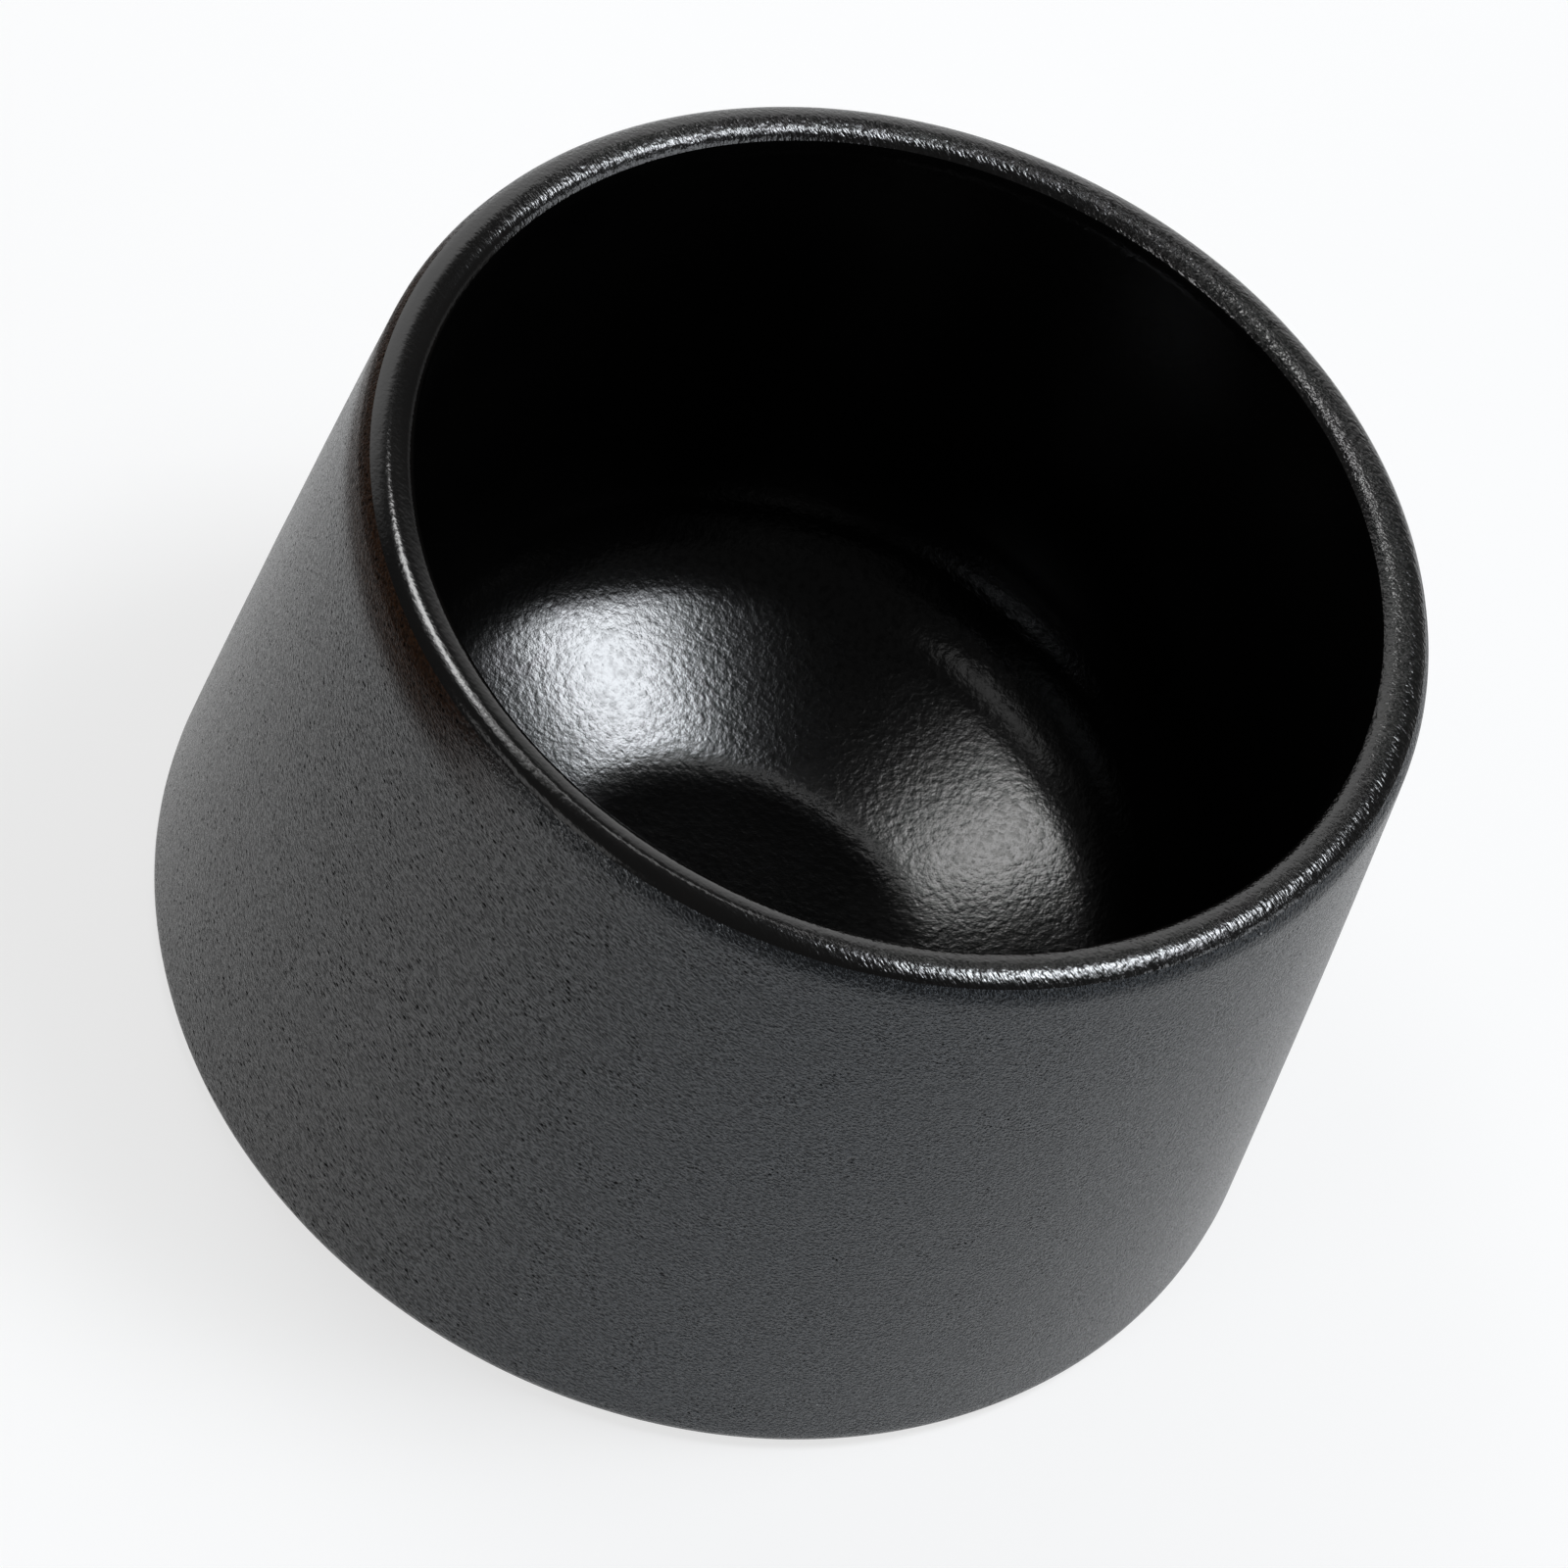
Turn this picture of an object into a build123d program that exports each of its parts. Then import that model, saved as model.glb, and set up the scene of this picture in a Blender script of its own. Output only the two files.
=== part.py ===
"""An empty candle jar: one squat, black-glazed stoneware vessel that narrows straight from foot to lip.

Every piece is a body of revolution about Z. The origin is the middle of the foot, on the surface
that the jar stands on. The clay body carries three fired-on glaze layers, each a piece of its own:
a satin-matte one outside, a glossy one inside, and the band over the lip where the two melt together.
"""
from build123d import *
import math
import os

# Driving dimensions, in millimetres. They are those of the finished, glazed surface.
HEIGHT = 56.0
MOUTH_RADIUS = 40.0  # the outer wall's slope, carried up to the height of the lip
FOOT_RADIUS = 45.3  # the same slope, carried down to the ground
WALL_CROWN = 0.15  # how far the outer wall swells beyond that straight slope, at half its height
BORE_RADIUS = 36.1  # the straight wall inside
FLOOR_HEIGHT = 2.6
FLOOR_RADIUS = 15.3  # where the flat of the floor and its dished ring would meet
DISH_ANGLE = 16.0  # how steeply that ring rises at first, in degrees
DISH_ROUND = 14.5  # between the flat and the ring
BEND_RADIUS = 22.8  # where the ring turns steeper
BEND_ANGLE = 22.6  # how steeply it rises from there, in degrees
BEND_ROUND = 90.0  # between its two slopes
COVE_ROUND = 12.9  # between the ring and the wall
LIP_ROUND_OUT = 2.0
LIP_ROUND_IN = 1.5
FOOT_ROUND = 1.8

GLAZE = 0.35  # thickness of every glaze layer
BARE_FOOT = 0.5  # the glaze is wiped off below this height
LIP_BAND_OUT = 0.5  # how far the lip's band reaches down the outside
LIP_BAND_IN = 0.7  # and down the inside

RECESS_RADIUS = 35.0  # the shallow hollow under the jar, inside its foot ring
RECESS_DEPTH = 0.5
RECESS_ROUND = 0.3

FAR = 2.0 * FOOT_RADIUS  # beyond every surface, for the shapes that only cut


def outer_radius(height, depth):
    """Radius of the outer wall's straight slope at a height, at a depth below the glazed surface."""
    slope = (FOOT_RADIUS - MOUTH_RADIUS) / HEIGHT
    return FOOT_RADIUS - slope * height - depth * math.hypot(1.0, slope)


def bowl_corners(depth):
    """The inside's corners from the wall's foot to the edge of the flat, at a depth below the glaze."""
    dish = math.radians(DISH_ANGLE)
    bend = math.radians(BEND_ANGLE)
    floor = FLOOR_HEIGHT - depth
    bore = BORE_RADIUS + depth
    disc = FLOOR_RADIUS + depth * math.tan(dish / 2.0)
    knee = BEND_RADIUS + depth * math.sin((dish + bend) / 2.0) / math.cos((bend - dish) / 2.0)
    knee_height = floor + (knee - disc) * math.tan(dish)
    cove_height = knee_height + (bore - knee) * math.tan(bend)
    return (bore, cove_height), (knee, knee_height), (disc, floor)


def wall_section(depth):
    """Half of the jar's cross-section, with every glazed surface set back by a depth."""
    top = HEIGHT - depth
    bore_top = (BORE_RADIUS + depth, top)
    cove, knee, disc = bowl_corners(depth)
    foot = (outer_radius(0.0, depth), 0.0)
    lip = (outer_radius(top, depth), top)
    swell = (outer_radius(top / 2.0, depth) + WALL_CROWN, top / 2.0)
    recess = (RECESS_RADIUS, RECESS_DEPTH)
    recess_mouth = (RECESS_RADIUS, 0.0)
    middle = [(0.0, FLOOR_HEIGHT - depth), (0.0, RECESS_DEPTH)]
    outline = Polyline(lip, bore_top, cove, knee, disc, *middle, recess, recess_mouth, foot)
    face = make_face([ThreePointArc(foot, swell, lip), outline])
    roundings = [
        (foot, FOOT_ROUND - depth),
        (lip, LIP_ROUND_OUT - depth),
        (bore_top, LIP_ROUND_IN - depth),
        (cove, COVE_ROUND + depth),
        (knee, BEND_ROUND + depth),
        (disc, DISH_ROUND + depth),
        (recess, RECESS_ROUND),
        (recess_mouth, RECESS_ROUND / 2.0),
    ]
    for corner, rounding in roundings:
        nearest = face.vertices().sort_by_distance(corner)[0]
        face = fillet(nearest, rounding)
    return face


def block(inner, outer, low, high):
    """A rectangle in the half section, from one radius and height to another."""
    return make_face(Polyline((inner, low), (outer, low), (outer, high), (inner, high), close=True))


def turned(half_section):
    """The solid that a half section sweeps round Z."""
    return revolve(Plane.XZ * half_section, Axis.Z)


def jar_pieces():
    """Every node's name and solid."""
    clay = wall_section(GLAZE)
    coat = wall_section(0.0) - clay
    lip_middle = (outer_radius(HEIGHT, 0.0) + BORE_RADIUS) / 2.0
    outside = block(lip_middle, FAR, BARE_FOOT, HEIGHT - LIP_BAND_OUT)
    inside = block(0.0, lip_middle, RECESS_DEPTH + GLAZE, HEIGHT - LIP_BAND_IN)
    lip = block(lip_middle, FAR, HEIGHT - LIP_BAND_OUT, FAR)
    lip += block(0.0, lip_middle, HEIGHT - LIP_BAND_IN, FAR)
    return {
        "stoneware_body": turned(clay),
        "outer_glaze": turned(coat & outside),
        "inner_glaze": turned(coat & inside),
        "rim_glaze": turned(coat & lip),
    }


os.makedirs("parts", exist_ok=True)
for node, solid in jar_pieces().items():
    export_step(solid, f"parts/{node}.step")
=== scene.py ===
"""Looks of the empty candle jar: fired glaze layers with their own relief, over the CAD's clay body.

The layers follow the section that the CAD is turned from. Lengths are in millimetres down to the
studio, which is in metres like everything that Blender holds.
"""
import math

import bpy
import numpy as np
from mathutils import Matrix, Vector, noise

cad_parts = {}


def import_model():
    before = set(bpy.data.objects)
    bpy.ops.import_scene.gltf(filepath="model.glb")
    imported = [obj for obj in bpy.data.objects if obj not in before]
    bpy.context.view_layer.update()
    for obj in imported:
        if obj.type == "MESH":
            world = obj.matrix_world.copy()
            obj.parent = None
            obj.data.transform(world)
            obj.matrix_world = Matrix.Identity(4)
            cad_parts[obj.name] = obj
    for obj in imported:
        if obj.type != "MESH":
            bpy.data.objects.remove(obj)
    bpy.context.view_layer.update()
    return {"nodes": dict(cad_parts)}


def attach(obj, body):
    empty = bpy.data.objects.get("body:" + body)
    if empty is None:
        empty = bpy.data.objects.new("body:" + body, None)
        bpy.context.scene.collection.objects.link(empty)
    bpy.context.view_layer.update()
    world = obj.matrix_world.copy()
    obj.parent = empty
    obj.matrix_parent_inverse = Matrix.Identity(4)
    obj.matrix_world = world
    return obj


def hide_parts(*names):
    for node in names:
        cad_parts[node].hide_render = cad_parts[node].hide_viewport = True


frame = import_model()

MM = 0.001

# ---------------------------------------------------------------- the jar's glazed surface
HEIGHT = 56.0
MOUTH_RADIUS = 40.0  # the outer wall's slope, carried up to the height of the lip
FOOT_RADIUS = 45.3  # the same slope, carried down to the ground
WALL_CROWN = 0.15  # how far the outer wall swells beyond that slope, at half its height
BORE_RADIUS = 36.1  # the straight wall inside
FLOOR_HEIGHT = 2.6
FLOOR_RADIUS = 15.3  # where the flat of the floor and its dished ring would meet
DISH_ANGLE = math.radians(16.0)  # how steeply that ring rises at first
DISH_ROUND = 14.5
BEND_RADIUS = 22.8  # where the ring turns steeper
BEND_ANGLE = math.radians(22.6)
BEND_ROUND = 90.0
COVE_ROUND = 12.9  # between the ring and the wall
LIP_ROUND_OUT = 2.0
LIP_ROUND_IN = 1.5
FOOT_ROUND = 1.8
UNDER_FOOT = 6.0  # how far inside the foot's edge the path starts

GLAZE = 0.35  # thickness of every layer
BARE_FOOT = 0.5  # the glaze is wiped off below this height
LIP_BAND_OUT = 0.5  # how far the lip's band reaches down the outside
LIP_BAND_IN = 0.7  # and down the inside
CREST = 0.2  # the lip is highest this far inside the end of its outer rounding
CREST_OUT = (1.1, 0.08)  # outside the crest the glaze thins over this length, by this much
CREST_IN = (0.75, 0.07)  # and inside it
CREST_FADE = (HEIGHT - 12.0, HEIGHT - 4.0)  # going up, the thinning comes in between these heights

RELIEF = ((0.030, 9.0), (0.012, 2.6))  # how deep the fired surface sinks, over features of what size
RELIEF_SHIFT = (17.3, 5.1, 9.7)  # moves each of those to its own part of the noise

PATH_STEP = 0.02  # between the points of the path
SEGMENTS = 480  # round the axis
MATTE_STEP = 0.6  # between the rings of the matte layer
LIP_STEP = 0.22
GLOSS_STEP = 0.8
CROWDED = 0.5  # a ring has half as many points where they come closer than this share of a step
TINY = 1e-6  # too small to matter
SHARP_EDGE = math.radians(40.0)


def rounded_path(corners):
    """A dense polyline through corners (radius, height, rounding), each corner replaced by its arc."""
    path = [np.array(corners[0][:2], float)]
    for before, corner, after in zip(corners, corners[1:], corners[2:]):
        at = np.array(corner[:2], float)
        back = np.array(before[:2], float) - at
        ahead = np.array(after[:2], float) - at
        back /= np.linalg.norm(back)
        ahead /= np.linalg.norm(ahead)
        half = math.acos(max(-1.0, min(1.0, float(back @ ahead)))) / 2.0
        rounding = corner[2]
        start = at + back * rounding / math.tan(half)
        end = at + ahead * rounding / math.tan(half)
        centre = at + (back + ahead) / np.linalg.norm(back + ahead) * rounding / math.sin(half)
        first = math.atan2(*(start - centre)[::-1])
        turn = (math.atan2(*(end - centre)[::-1]) - first + math.pi) % (2.0 * math.pi) - math.pi
        steps = max(2, int(abs(turn) * rounding / PATH_STEP))
        for step in range(steps + 1):
            angle = first + turn * step / steps
            path.append(centre + rounding * np.array([math.cos(angle), math.sin(angle)]))
    path.append(np.array(corners[-1][:2], float))
    return np.array(path)


def evened(path):
    """The same line with a point at every step, so that cuts and lengths along it come out even."""
    length = np.concatenate([[0.0], np.cumsum(np.linalg.norm(np.diff(path, axis=0), axis=1))])
    even = np.arange(0.0, length[-1], PATH_STEP)
    return np.stack([np.interp(even, length, path[:, 0]), np.interp(even, length, path[:, 1])], axis=1)


def jar_path():
    """The glaze's surface from under the foot, up the outside, over the lip and down to the middle."""
    knee = FLOOR_HEIGHT + (BEND_RADIUS - FLOOR_RADIUS) * math.tan(DISH_ANGLE)
    cove = knee + (BORE_RADIUS - BEND_RADIUS) * math.tan(BEND_ANGLE)
    path = rounded_path(
        [
            (FOOT_RADIUS - UNDER_FOOT, 0.0, 0.0),
            (FOOT_RADIUS, 0.0, FOOT_ROUND),
            (MOUTH_RADIUS, HEIGHT, LIP_ROUND_OUT),
            (BORE_RADIUS, HEIGHT, LIP_ROUND_IN),
            (BORE_RADIUS, cove, COVE_ROUND),
            (BEND_RADIUS, knee, BEND_ROUND),
            (FLOOR_RADIUS, FLOOR_HEIGHT, DISH_ROUND),
            (0.0, FLOOR_HEIGHT, 0.0),
        ]
    )
    path = evened(path)
    outside = path[:, 0] > (MOUTH_RADIUS + BORE_RADIUS) / 2.0
    share = np.clip(path[:, 1] / HEIGHT, 0.0, 1.0)
    path[:, 0] += np.where(outside, WALL_CROWN * 4.0 * share * (1.0 - share), 0.0)
    path[-1] = (0.0, FLOOR_HEIGHT)
    return path


PATH = jar_path()
TANGENT = np.gradient(PATH, axis=0)
TANGENT /= np.linalg.norm(TANGENT, axis=1)[:, None]
NORMAL = np.stack([TANGENT[:, 1], -TANGENT[:, 0]], axis=1)
LIP = int(np.argmax(PATH[:, 1] >= PATH[:, 1].max() - TINY))  # where the outer rounding ends


def cut(height, inside):
    """The place along the path where it passes a height, on the outside or the inside."""
    if inside:
        return LIP + int(np.argmax(PATH[LIP:, 1] <= height))
    return int(np.argmax(PATH[:, 1] >= height))


FOOT_CUT = cut(BARE_FOOT, False)
OUT_CUT = cut(HEIGHT - LIP_BAND_OUT, False)
IN_CUT = cut(HEIGHT - LIP_BAND_IN, True)
END = len(PATH) - 1


def smooth(share):
    """A share from 0 to 1, eased at both ends."""
    share = np.clip(share, 0.0, 1.0)
    return share * share * (3.0 - 2.0 * share)


def lip_drop():
    """How far the glazed surface lies below the path at each place, so that the lip has a crest."""
    along = (np.arange(len(PATH)) - LIP) * PATH_STEP - CREST
    outside = CREST_OUT[1] * smooth(-along / CREST_OUT[0])
    inside = CREST_IN[1] * smooth(along / CREST_IN[0])
    low, high = CREST_FADE
    return (outside + inside) * smooth((PATH[:, 1] - low) / (high - low))


DROP = lip_drop()


def relief(points):
    """How far the fired surface stands out at each point, which is 0 or less, because it only sinks."""
    out = np.zeros(len(points))
    for seed, (depth, size) in enumerate(RELIEF, start=1):
        shift = Vector([seed * part for part in RELIEF_SHIFT])
        waves = np.array([noise.noise(Vector(p) / size + shift) for p in points])
        out += depth * (np.clip(waves, -1.0, 1.0) * 0.5 - 0.5)
    return out


# ---------------------------------------------------------------- the glaze layers' meshes
def ring_points(radius, height, count):
    """Points evenly round the axis, or a direction at each of them from its parts outwards and upwards."""
    angle = 2.0 * math.pi * np.arange(count) / count
    return np.stack([radius * np.cos(angle), radius * np.sin(angle), np.full(count, height)], axis=1)


def ring_plan(first, last, step):
    """Places along part of the path, about a step apart, each with how many points its ring has."""
    count = max(2, int(round((last - first) * PATH_STEP / step)))
    plan = []
    number = SEGMENTS
    for place in np.unique(np.round(np.linspace(first, last, count + 1)).astype(int)):
        radius = PATH[place, 0]
        while radius > TINY and number % 2 == 0 and 2.0 * math.pi * radius / number < CROWDED * step:
            number //= 2
        plan.append((place, 1 if radius < TINY else number))
    return plan


def glazed_ring(place, number):
    """A ring of the layer's outer skin, which drops beside the lip's crest and sinks with the relief."""
    radius, height = PATH[place]
    points = ring_points(radius, height - DROP[place], number)
    return points + ring_points(*NORMAL[place], number) * relief(points)[:, None]


def clay_ring(place, number):
    """A ring of the layer's inner skin, which lies on the clay."""
    radius, height = PATH[place] - NORMAL[place] * GLAZE
    return ring_points(radius if number > 1 else 0.0, height, number)


def stitch(a, b):
    """Faces between ring a and ring b, which has as many points, half as many, or one."""
    n, m = len(a), len(b)
    if m == 1:
        return [(a[k], a[(k + 1) % n], b[0]) for k in range(n)]
    if n == m:
        return [(a[k], a[(k + 1) % n], b[(k + 1) % n], b[k]) for k in range(n)]
    faces = []
    for k in range(m):
        a0, a1, a2 = a[2 * k], a[2 * k + 1], a[(2 * k + 2) % n]
        b0, b1 = b[k], b[(k + 1) % m]
        faces += [(a0, a1, b0), (a1, a2, b1), (a1, b1, b0)]
    return faces


def shell(plan):
    """The points, in metres, and faces of a closed shell from an outer skin to an inner one."""
    verts = []
    skins = []
    for ring in (glazed_ring, clay_ring):
        rows = []
        for place, number in plan:
            rows.append(range(len(verts), len(verts) + number))
            verts += [tuple(p * MM) for p in ring(place, number)]
        skins.append(rows)
    outer, inner = skins
    faces = []
    for a, b in zip(outer, outer[1:]):
        faces += stitch(a, b)
    for a, b in zip(inner, inner[1:]):
        faces += [face[::-1] for face in stitch(a, b)]
    faces += stitch(inner[0], outer[0])
    if len(outer[-1]) > 1:
        faces += stitch(outer[-1], inner[-1])
    return verts, faces


def glaze_layer(name, first, last, step, material, cad_node):
    """A layer of glaze along part of the path, in place of its CAD node."""
    verts, faces = shell(ring_plan(first, last, step))
    mesh = bpy.data.meshes.new(name)
    mesh.from_pydata(verts, [], faces)
    mesh.update()
    mesh.shade_smooth()
    mesh.set_sharp_from_angle(angle=SHARP_EDGE)
    mesh.materials.append(material)
    piece = bpy.data.objects.new(name, mesh)
    bpy.context.scene.collection.objects.link(piece)
    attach(piece, "root")
    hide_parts(cad_node)


# ---------------------------------------------------------------- node helpers
class Nodes:
    """Short ways to add and link the nodes of one material or world."""

    def __init__(self, owner, shader="Principled BSDF"):
        owner.use_nodes = True
        self.owner = owner
        self.tree = owner.node_tree
        self.shader = self.tree.nodes[shader]

    def add(self, kind, **settings):
        node = self.tree.nodes.new(kind)
        for key, value in settings.items():
            setattr(node, key, value)
        return node

    def put(self, socket, value):
        """Links another node's output to a socket, or sets the socket's own value."""
        if isinstance(value, bpy.types.NodeSocket):
            self.tree.links.new(value, socket)
        else:
            socket.default_value = value

    def surface(self, name, value):
        """Gives the shader one of its values."""
        self.put(self.shader.inputs[name], value)

    def coords(self):
        return self.add("ShaderNodeTexCoord").outputs["Object"]

    def stretched(self, vector, rotation, factor):
        """Coordinates in which a texture comes out longer by a factor along the turned X axis."""
        node = self.add("ShaderNodeMapping", vector_type="TEXTURE")
        self.put(node.inputs["Vector"], vector)
        self.put(node.inputs["Rotation"], rotation)
        self.put(node.inputs["Scale"], (factor, 1.0, 1.0))
        return node.outputs["Vector"]

    def noise(self, vector, size, detail=2.0, rough=0.5):
        """Noise from 0 to 1 with features about `size` mm across."""
        node = self.add("ShaderNodeTexNoise")
        self.put(node.inputs["Vector"], vector)
        self.put(node.inputs["Scale"], 1.0 / (size * MM))
        self.put(node.inputs["Detail"], detail)
        self.put(node.inputs["Roughness"], rough)
        return node.outputs["Fac"]

    def cells(self, vector, size):
        """Distance to the nearest of scattered points about `size` mm apart, where 1 is that size."""
        node = self.add("ShaderNodeTexVoronoi")
        self.put(node.inputs["Vector"], vector)
        self.put(node.inputs["Scale"], 1.0 / (size * MM))
        return node.outputs["Distance"]

    def ramp(self, value, low, high, to_low=0.0, to_high=1.0):
        """Goes smoothly from to_low to to_high as a value goes from low to high."""
        node = self.add("ShaderNodeMapRange", interpolation_type="SMOOTHSTEP")
        self.put(node.inputs["Value"], value)
        self.put(node.inputs["From Min"], low)
        self.put(node.inputs["From Max"], high)
        self.put(node.inputs["To Min"], to_low)
        self.put(node.inputs["To Max"], to_high)
        return node.outputs["Result"]

    def toward(self, vector, direction):
        """How far a point lies in a direction."""
        node = self.add("ShaderNodeVectorMath", operation="DOT_PRODUCT")
        self.put(node.inputs[0], vector)
        self.put(node.inputs[1], direction)
        return node.outputs["Value"]

    def side(self, vector, direction, near, far, to_near=0.0, to_far=1.0):
        """A ramp between two distances in a direction, in mm."""
        return self.ramp(self.toward(vector, direction), near * MM, far * MM, to_near, to_far)

    def math(self, operation, a, b):
        node = self.add("ShaderNodeMath", operation=operation)
        self.put(node.inputs[0], a)
        self.put(node.inputs[1], b)
        return node.outputs[0]

    def plus(self, a, b):
        return self.math("ADD", a, b)

    def minus(self, a, b):
        return self.math("SUBTRACT", a, b)

    def times(self, a, b):
        return self.math("MULTIPLY", a, b)

    def larger(self, a, b):
        return self.math("MAXIMUM", a, b)

    def mix(self, factor, a, b):
        """Colour a where the factor is 0, and b where it is 1."""
        node = self.add("ShaderNodeMix", data_type="RGBA")
        self.put(node.inputs["Factor"], factor)
        self.put(node.inputs["A"], a)
        self.put(node.inputs["B"], b)
        return node.outputs["Result"]

    def bump(self, height, depth, normal=None):
        """A normal from a height field where 1 is `depth` mm high, over another normal if one is given."""
        node = self.add("ShaderNodeBump")
        self.put(node.inputs["Strength"], 1.0)
        self.put(node.inputs["Distance"], depth * MM)
        self.put(node.inputs["Height"], height)
        if normal is not None:
            self.put(node.inputs["Normal"], normal)
        return node.outputs["Normal"]


def grey(value, tint=(1.0, 1.0, 1.0)):
    """A grey of one brightness, with an optional tint, as a colour with alpha."""
    return (value * tint[0], value * tint[1], value * tint[2], 1.0)


# ---------------------------------------------------------------- materials
GRAIN_TURN = (0.0, math.radians(18.8), math.radians(-25.6))  # turns X to the way that it was wiped
MATTE_STRETCH = 2.2  # how much longer the grain is that way than across
RIM_STRETCH = 3.0

# Directions from the jar's middle, and what its glazes, and the light painted on them, are like on that
# side of it.
UPWARDS = (0.0, 0.0, 1.0)
PITTED_SIDE = (-0.85, -0.53, 0.0)  # the matte glaze has most pits, with their painted shade and sheen
UNDER_LIP_SHADE_SIDE = (-0.92, -0.39, 0.0)  # it is brown, with painted shade, just under the lip
PAINTED_COOL_SIDE = (0.80, -0.60, 0.0)  # its sheen is painted bluer, standing in for cool light on that side
SMOOTH_SIDE = (-0.75, -0.66, 0.0)  # the lip is smoothest
COARSE_SIDE = (0.0, 1.0, 0.0)  # the lip is coarsest

UNDER_LIP_SHADE_HEIGHTS = (HEIGHT - 7.0, HEIGHT - 2.5)  # going up, the brown tint and painted shade under the lip come in between these
UNDER_LIP_BROWN = (0.030, 0.014, 0.007, 1.0)
# a painted bluer sheen
PAINTED_COOL_SHEEN = (0.93, 1.01, 1.10, 1.0)
CLAY_DARK = (0.19, 0.145, 0.108, 1.0)
CLAY_PALE = (0.27, 0.215, 0.165, 1.0)
CLAY_SPOT = (0.06, 0.042, 0.032, 1.0)


def matte_glaze():
    """Satin-matte black with a fine grain and patches of pits, with painted shade in the pits and the
    grain's hollows, painted sheen on the grain's tops, a painted bluer sheen on one side, and a brown tint
    with painted shade under part of the lip.
    """
    n = Nodes(bpy.data.materials.new("matte_black_glaze"))
    p = n.coords()
    along = n.stretched(p, GRAIN_TURN, MATTE_STRETCH)
    cloud = n.noise(p, 14.0, detail=3.0)
    patch = n.noise(p, 3.5)
    grain = n.noise(along, 0.19, detail=1.0, rough=0.6)
    tooth = n.noise(p, 0.70, rough=0.6)

    # Each of these is 1 where it is strongest and 0 where there is none of it.
    zone = n.ramp(n.plus(patch, n.side(p, PITTED_SIDE, 14.0, 40.0, 0.0, 0.24)), 0.40, 0.76)
    pit_and_shade = n.times(n.ramp(n.cells(along, 0.40), 0.13, 0.29, 1.0, 0.0), zone)
    speck = n.ramp(n.cells(p, 6.0), 0.010, 0.022, 1.0, 0.0)
    # brown tint and painted shade just under the lip on one side: the matte glaze turns brown there and
    # shines less
    under_lip_brown_and_shade = n.times(n.side(p, UPWARDS, *UNDER_LIP_SHADE_HEIGHTS), n.side(p, UNDER_LIP_SHADE_SIDE, 28.0, 37.0))

    colour = n.mix(cloud, grey(0.008, (0.93, 1.0, 1.09)), grey(0.015, (0.93, 1.0, 1.10)))
    # the brown tint under the lip
    colour = n.mix(under_lip_brown_and_shade, colour, UNDER_LIP_BROWN)
    # painted shade: the grain's hollows are darkened
    colour = n.mix(n.ramp(grain, 0.35, 0.65), n.mix(0.6, colour, grey(0.004)), colour)
    # painted shade in the pits: they are darkened
    colour = n.mix(n.times(pit_and_shade, 0.7), colour, grey(0.003))
    n.surface("Base Color", n.mix(speck, colour, grey(0.30)))
    n.surface("Roughness", n.ramp(grain, 0.3, 0.7, 0.31, 0.24))

    # Painted sheen and shade: the grain's tops are given the most shine, more so among the pits, and the
    # pits and the brown part under the lip the least.
    sheen_and_shade = n.minus(n.ramp(grain, 0.34, 0.58, 0.33, 0.54), n.times(pit_and_shade, 0.38))
    sheen_and_shade = n.plus(sheen_and_shade, n.times(n.ramp(grain, 0.38, 0.60, -0.07, 0.08), zone))
    sheen_and_shade = n.times(sheen_and_shade, n.minus(1.0, n.times(under_lip_brown_and_shade, 0.65)))
    n.surface("Specular IOR Level", sheen_and_shade)
    # a lower IOR under the lip, part of its painted shade
    n.surface("IOR", n.ramp(under_lip_brown_and_shade, 0.0, 1.0, 1.5, 1.14))
    # painted sheen: reflections turn bluer towards one side, standing in for cool light there
    n.surface("Specular Tint", n.mix(n.side(p, PAINTED_COOL_SIDE, 5.0, 36.0), grey(1.0), PAINTED_COOL_SHEEN))
    height = n.minus(grain, n.times(pit_and_shade, 0.9))
    n.surface("Normal", n.bump(tooth, 0.08, n.bump(height, 0.16)))
    return n.owner


def gloss_glaze():
    """Glossy black with a faint orange peel, whose raised spots are given more reflection, as painted
    glints.
    """
    n = Nodes(bpy.data.materials.new("gloss_black_glaze"))
    p = n.coords()
    peel = n.noise(p, 0.9, detail=1.0)
    fine = n.noise(p, 0.60, detail=2.5, rough=0.6)
    cloud = n.noise(p, 10.0)
    n.surface("Base Color", n.mix(cloud, grey(0.0012), grey(0.0024, (1.05, 1.0, 0.97))))
    n.surface("Roughness", n.ramp(cloud, 0.3, 0.7, 0.165, 0.185))
    # painted glints: the fine peel's raised spots reflect more, its hollows less
    n.surface("Specular IOR Level", n.ramp(fine, 0.25, 0.60, 0.34, 0.54))
    n.surface("Normal", n.bump(fine, 0.034, n.bump(peel, 0.008)))
    n.surface("IOR", 1.57)
    return n.owner


def rim_glaze():
    """Very glossy black, streaked along the way that it was wiped, more on some sides than on others."""
    n = Nodes(bpy.data.materials.new("rim_black_glaze"))
    p = n.coords()
    along = n.stretched(p, GRAIN_TURN, RIM_STRETCH)
    streak = n.noise(along, 0.21, detail=1.5, rough=0.6)
    tooth = n.noise(p, 0.50, detail=1.5)
    cloud = n.noise(p, 6.0)
    wiped = n.side(p, SMOOTH_SIDE, 10.0, 28.0, 1.0, 0.24)
    wiped = n.times(wiped, n.side(p, COARSE_SIDE, -10.0, 20.0, 1.0, 1.3))
    n.surface("Base Color", n.mix(cloud, grey(0.002), grey(0.004, (1.15, 1.0, 0.9))))
    n.surface("Roughness", n.plus(n.times(wiped, n.ramp(streak, 0.3, 0.7, 0.03, 0.10)), 0.115))
    n.surface("Normal", n.bump(n.times(n.plus(streak, tooth), wiped), 0.05))
    n.surface("IOR", 1.75)
    return n.owner


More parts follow.
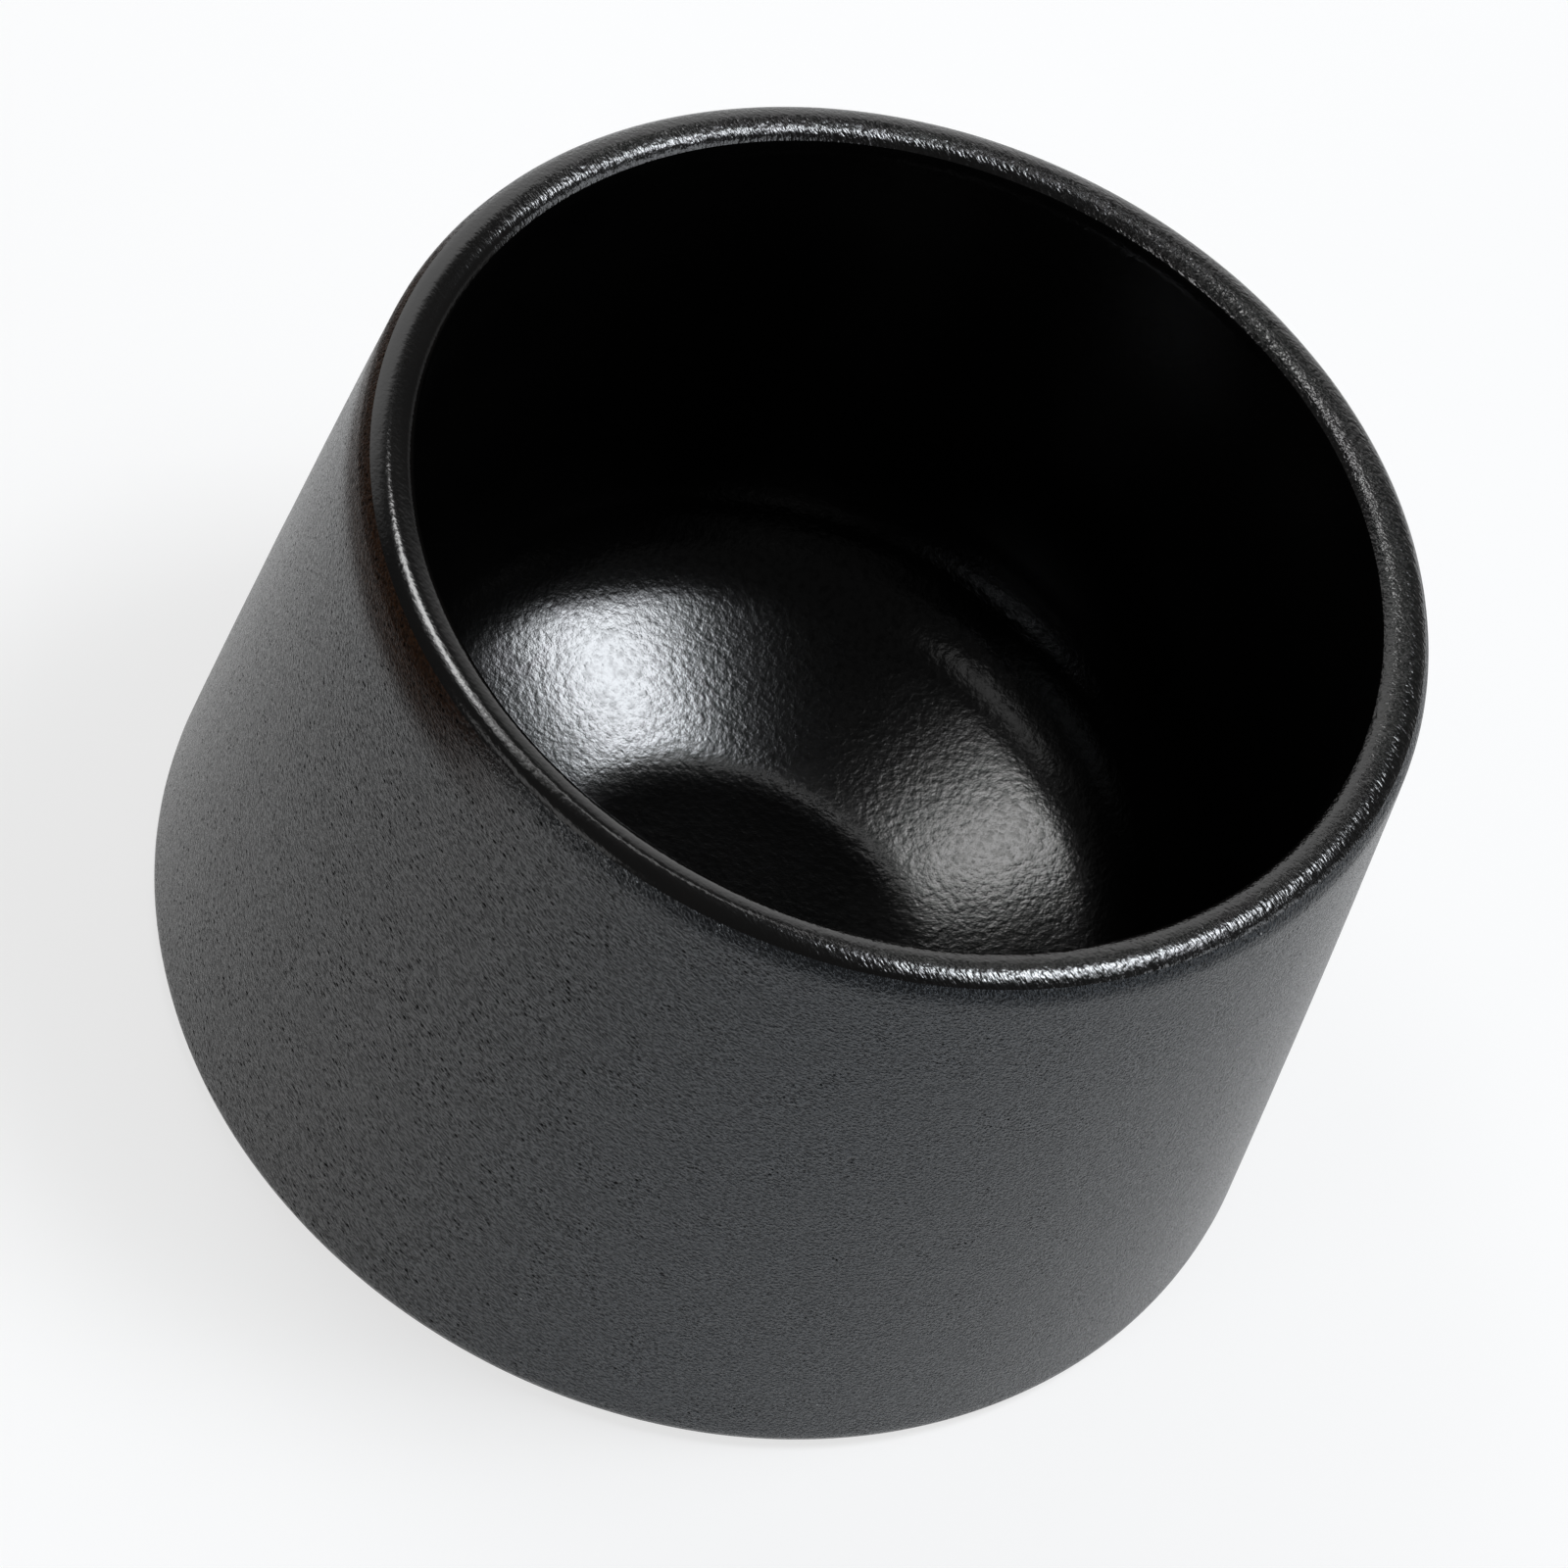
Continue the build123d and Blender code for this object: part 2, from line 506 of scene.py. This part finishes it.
def bare_clay():
    """Unglazed buff stoneware with grit and dark iron spots."""
    n = Nodes(bpy.data.materials.new("bare_stoneware"))
    p = n.coords()
    cloud = n.noise(p, 8.0, detail=4.0, rough=0.6)
    grit = n.noise(p, 0.5, detail=3.0, rough=0.7)
    spots = n.ramp(n.cells(p, 2.1), 0.08, 0.16, 1.0, 0.0)
    colour = n.mix(cloud, CLAY_DARK, CLAY_PALE)
    colour = n.mix(n.ramp(grit, 0.3, 0.7), n.mix(0.25, colour, grey(0.03)), colour)
    n.surface("Base Color", n.mix(spots, colour, CLAY_SPOT))
    n.surface("Roughness", 0.85)
    n.surface("Normal", n.bump(grit, 0.10))
    return n.owner


# ---------------------------------------------------------------- pieces
matte = matte_glaze()
gloss = gloss_glaze()
rim = rim_glaze()
clay = bare_clay()
glaze_layer("matte_glaze_skin", FOOT_CUT, OUT_CUT, MATTE_STEP, matte, "outer_glaze")
glaze_layer("lip_glaze_skin", OUT_CUT, IN_CUT, LIP_STEP, rim, "rim_glaze")
glaze_layer("gloss_glaze_skin", IN_CUT, END, GLOSS_STEP, gloss, "inner_glaze")
body = frame["nodes"]["stoneware_body"]
for slot in body.material_slots:
    slot.material = clay


# ---------------------------------------------------------------- studio, in metres
FLOOR_REACH = 0.34
FLOOR_CORNERS = 96
FLOOR_DROP = 0.00002  # how far it lies below the foot, so that no two faces coincide
FLOOR_ALBEDO = 0.8  # what it returns to the jar of the light on it
FLOOR_GLOW = 0.70  # what it shows without any light
FLOOR_SHADOWED = 0.34  # what it shows besides, of the light on it, where the jar casts its shadow

# In the world a strength of 1 is plain white, and an edge is given as how far a direction of length 1
# goes upwards, or towards the sweep.
SWEEP = 0.85
SWEEP_AZIMUTH = math.radians(122.0)
SWEEP_SIDES = (0.50, 0.82)
SWEEP_TOP = (0.78, 0.62)
HORIZON = 0.15
HORIZON_TOP = (0.30, 0.15)
DARK_ROOM = 0.05

WHITE = (1.0, 1.0, 1.0)
COOL = (0.96, 1.0, 1.05)
TARGET = Vector((0.0, 0.0, 0.024))  # what the lamps face
LAMP_DISTANCE = 2.0
LEFT_DISTANCE = 0.28
TOP_DISTANCE = 0.34

CAMERA_PLACE = Vector((0.0, -0.27928, 0.37426))
CAMERA_PITCH = 0.900  # below the horizontal, in radians
CAMERA_ROLL = 0.4358  # in radians
CAMERA_SIDEWAYS = -0.00093  # how far to the side it looks, as a share of how far ahead
LENS = 135.0  # in millimetres, and so is the sensor
SENSOR = 36.0
CLIP = (0.01, 10.0)


def pale_floor():
    """A pale floor, which the eye sees, and the glaze mirrors, as white with a soft shadow."""
    n = Nodes(bpy.data.materials.new("pale_floor"))
    n.tree.nodes.remove(n.shader)
    plain = n.add("ShaderNodeBsdfDiffuse")
    n.put(plain.inputs["Color"], grey(FLOOR_ALBEDO))
    shadowed = n.add("ShaderNodeBsdfDiffuse")
    n.put(shadowed.inputs["Color"], grey(FLOOR_SHADOWED))
    glow = n.add("ShaderNodeEmission")
    n.put(glow.inputs["Strength"], FLOOR_GLOW)
    white = n.add("ShaderNodeAddShader")
    n.put(white.inputs[0], shadowed.outputs[0])
    n.put(white.inputs[1], glow.outputs[0])
    rays = n.add("ShaderNodeLightPath")
    seen = rays.outputs["Is Camera Ray"]
    for other in ("Is Glossy Ray", "Is Transmission Ray"):
        seen = n.larger(seen, rays.outputs[other])
    pick = n.add("ShaderNodeMixShader")
    n.put(pick.inputs[0], seen)
    n.put(pick.inputs[1], plain.outputs[0])
    n.put(pick.inputs[2], white.outputs[0])
    n.put(n.tree.nodes["Material Output"].inputs["Surface"], pick.outputs[0])
    return n.owner


def studio_floor():
    """A round floor just under the foot."""
    mesh = bpy.data.meshes.new("studio_floor")
    corners = [tuple(p) for p in ring_points(FLOOR_REACH, 0.0, FLOOR_CORNERS)]
    mesh.from_pydata(corners, [], [tuple(range(FLOOR_CORNERS))])
    mesh.materials.append(pale_floor())
    floor = bpy.data.objects.new("studio_floor", mesh)
    floor.location.z = -FLOOR_DROP
    bpy.context.scene.collection.objects.link(floor)


def world():
    """A dark room with a pale horizon and, behind the jar, a white sweep up to half-way to overhead.

    The eye itself sees plain white past the floor.
    """
    n = Nodes(bpy.data.worlds.new("studio_world"), shader="Background")
    bpy.context.scene.world = n.owner
    where = n.add("ShaderNodeTexCoord").outputs["Generated"]
    split = n.add("ShaderNodeSeparateXYZ")
    n.put(split.inputs[0], where)
    upwards = split.outputs["Z"]
    behind = n.toward(where, (math.cos(SWEEP_AZIMUTH), math.sin(SWEEP_AZIMUTH), 0.0))
    sweep = n.times(n.ramp(behind, *SWEEP_SIDES), n.ramp(upwards, *SWEEP_TOP))
    horizon = n.times(n.ramp(upwards, *HORIZON_TOP), HORIZON)
    light = n.larger(n.larger(n.times(sweep, SWEEP), horizon), DARK_ROOM)
    rays = n.add("ShaderNodeLightPath")
    n.surface("Color", grey(1.0))
    n.surface("Strength", n.larger(light, rays.outputs["Is Camera Ray"]))


def facing(place, back, level, roll):
    """The matrix of a lamp or camera at a place, from its direction backwards and a level one, rolled."""
    rise = back.cross(level)
    across = math.cos(roll) * level + math.sin(roll) * rise
    along = -math.sin(roll) * level + math.cos(roll) * rise
    return Matrix.Translation(place) @ Matrix((across, along, back)).transposed().to_4x4()


def softbox(name, at, half, radiance, roll=0.0, colour=WHITE, distance=LAMP_DISTANCE):
    """A soft rectangular lamp that faces the jar.

    Angles are in degrees as seen from the jar: `at` is its azimuth and elevation, and `half` is half
    its width and half its height. A surface with a radiance of 1 renders as plain white.
    """
    azimuth, elevation = math.radians(at[0]), math.radians(at[1])
    flat = math.cos(elevation)
    away = Vector((math.cos(azimuth) * flat, math.sin(azimuth) * flat, math.sin(elevation)))
    level = Vector((-math.sin(azimuth), math.cos(azimuth), 0.0))
    width = 2.0 * distance * math.tan(math.radians(half[0]))
    height = 2.0 * distance * math.tan(math.radians(half[1]))
    data = bpy.data.lights.new(name, "AREA")
    data.shape = "RECTANGLE"
    data.size, data.size_y = width, height
    data.energy = radiance * math.pi * width * height
    data.color = colour
    lamp = bpy.data.objects.new(name, data)
    lamp.matrix_world = facing(TARGET + away * distance, away, level, math.radians(roll))
    lamp.visible_camera = False
    bpy.context.scene.collection.objects.link(lamp)


def lamps():
    """A key lamp at the back right, a smaller one at the back left, a strip high behind, and weak fill.

    The first two have wider and weaker lamps of their own round them, which soften their edges.
    """
    softbox("key_light", (29.0, 63.8), (6.5, 7.0), 14.5, roll=14.0, colour=COOL)
    softbox("key_glow", (28.5, 63.5), (12.0, 11.0), 3.8, roll=14.0, colour=COOL)
    softbox("key_spill", (27.0, 63.0), (15.0, 12.5), 1.2, roll=14.0, colour=COOL)
    softbox("left_light", (145.0, 63.0), (6.0, 5.5), 5.0, distance=LEFT_DISTANCE)
    softbox("left_glow", (147.0, 64.0), (8.5, 8.0), 1.5, distance=LEFT_DISTANCE)
    softbox("left_spill", (152.0, 66.5), (11.0, 9.0), 0.6, distance=LEFT_DISTANCE)
    softbox("top_light", (93.0, 65.5), (18.0, 2.2), 1.8, distance=TOP_DISTANCE)
    softbox("faint_light", (221.0, 54.0), (13.0, 5.0), 0.65)
    softbox("front_light", (238.0, 13.0), (8.0, 10.0), 4.5)
    softbox("right_light", (-5.0, 19.0), (24.0, 11.0), 1.8, colour=COOL)


def camera():
    """A long lens that looks down into the jar from the front, rolled."""
    data = bpy.data.cameras.new("camera")
    data.sensor_width, data.lens = SENSOR, LENS
    data.clip_start, data.clip_end = CLIP
    cam = bpy.data.objects.new("camera", data)
    bpy.context.scene.collection.objects.link(cam)
    bpy.context.scene.camera = cam
    flat = math.cos(CAMERA_PITCH)
    ahead = Vector((CAMERA_SIDEWAYS * flat, flat, -math.sin(CAMERA_PITCH))).normalized()
    level = ahead.cross(Vector(UPWARDS)).normalized()
    cam.matrix_world = facing(CAMERA_PLACE, -ahead, level, CAMERA_ROLL)


studio_floor()
world()
lamps()
camera()
bpy.context.scene.view_settings.view_transform = "Standard"
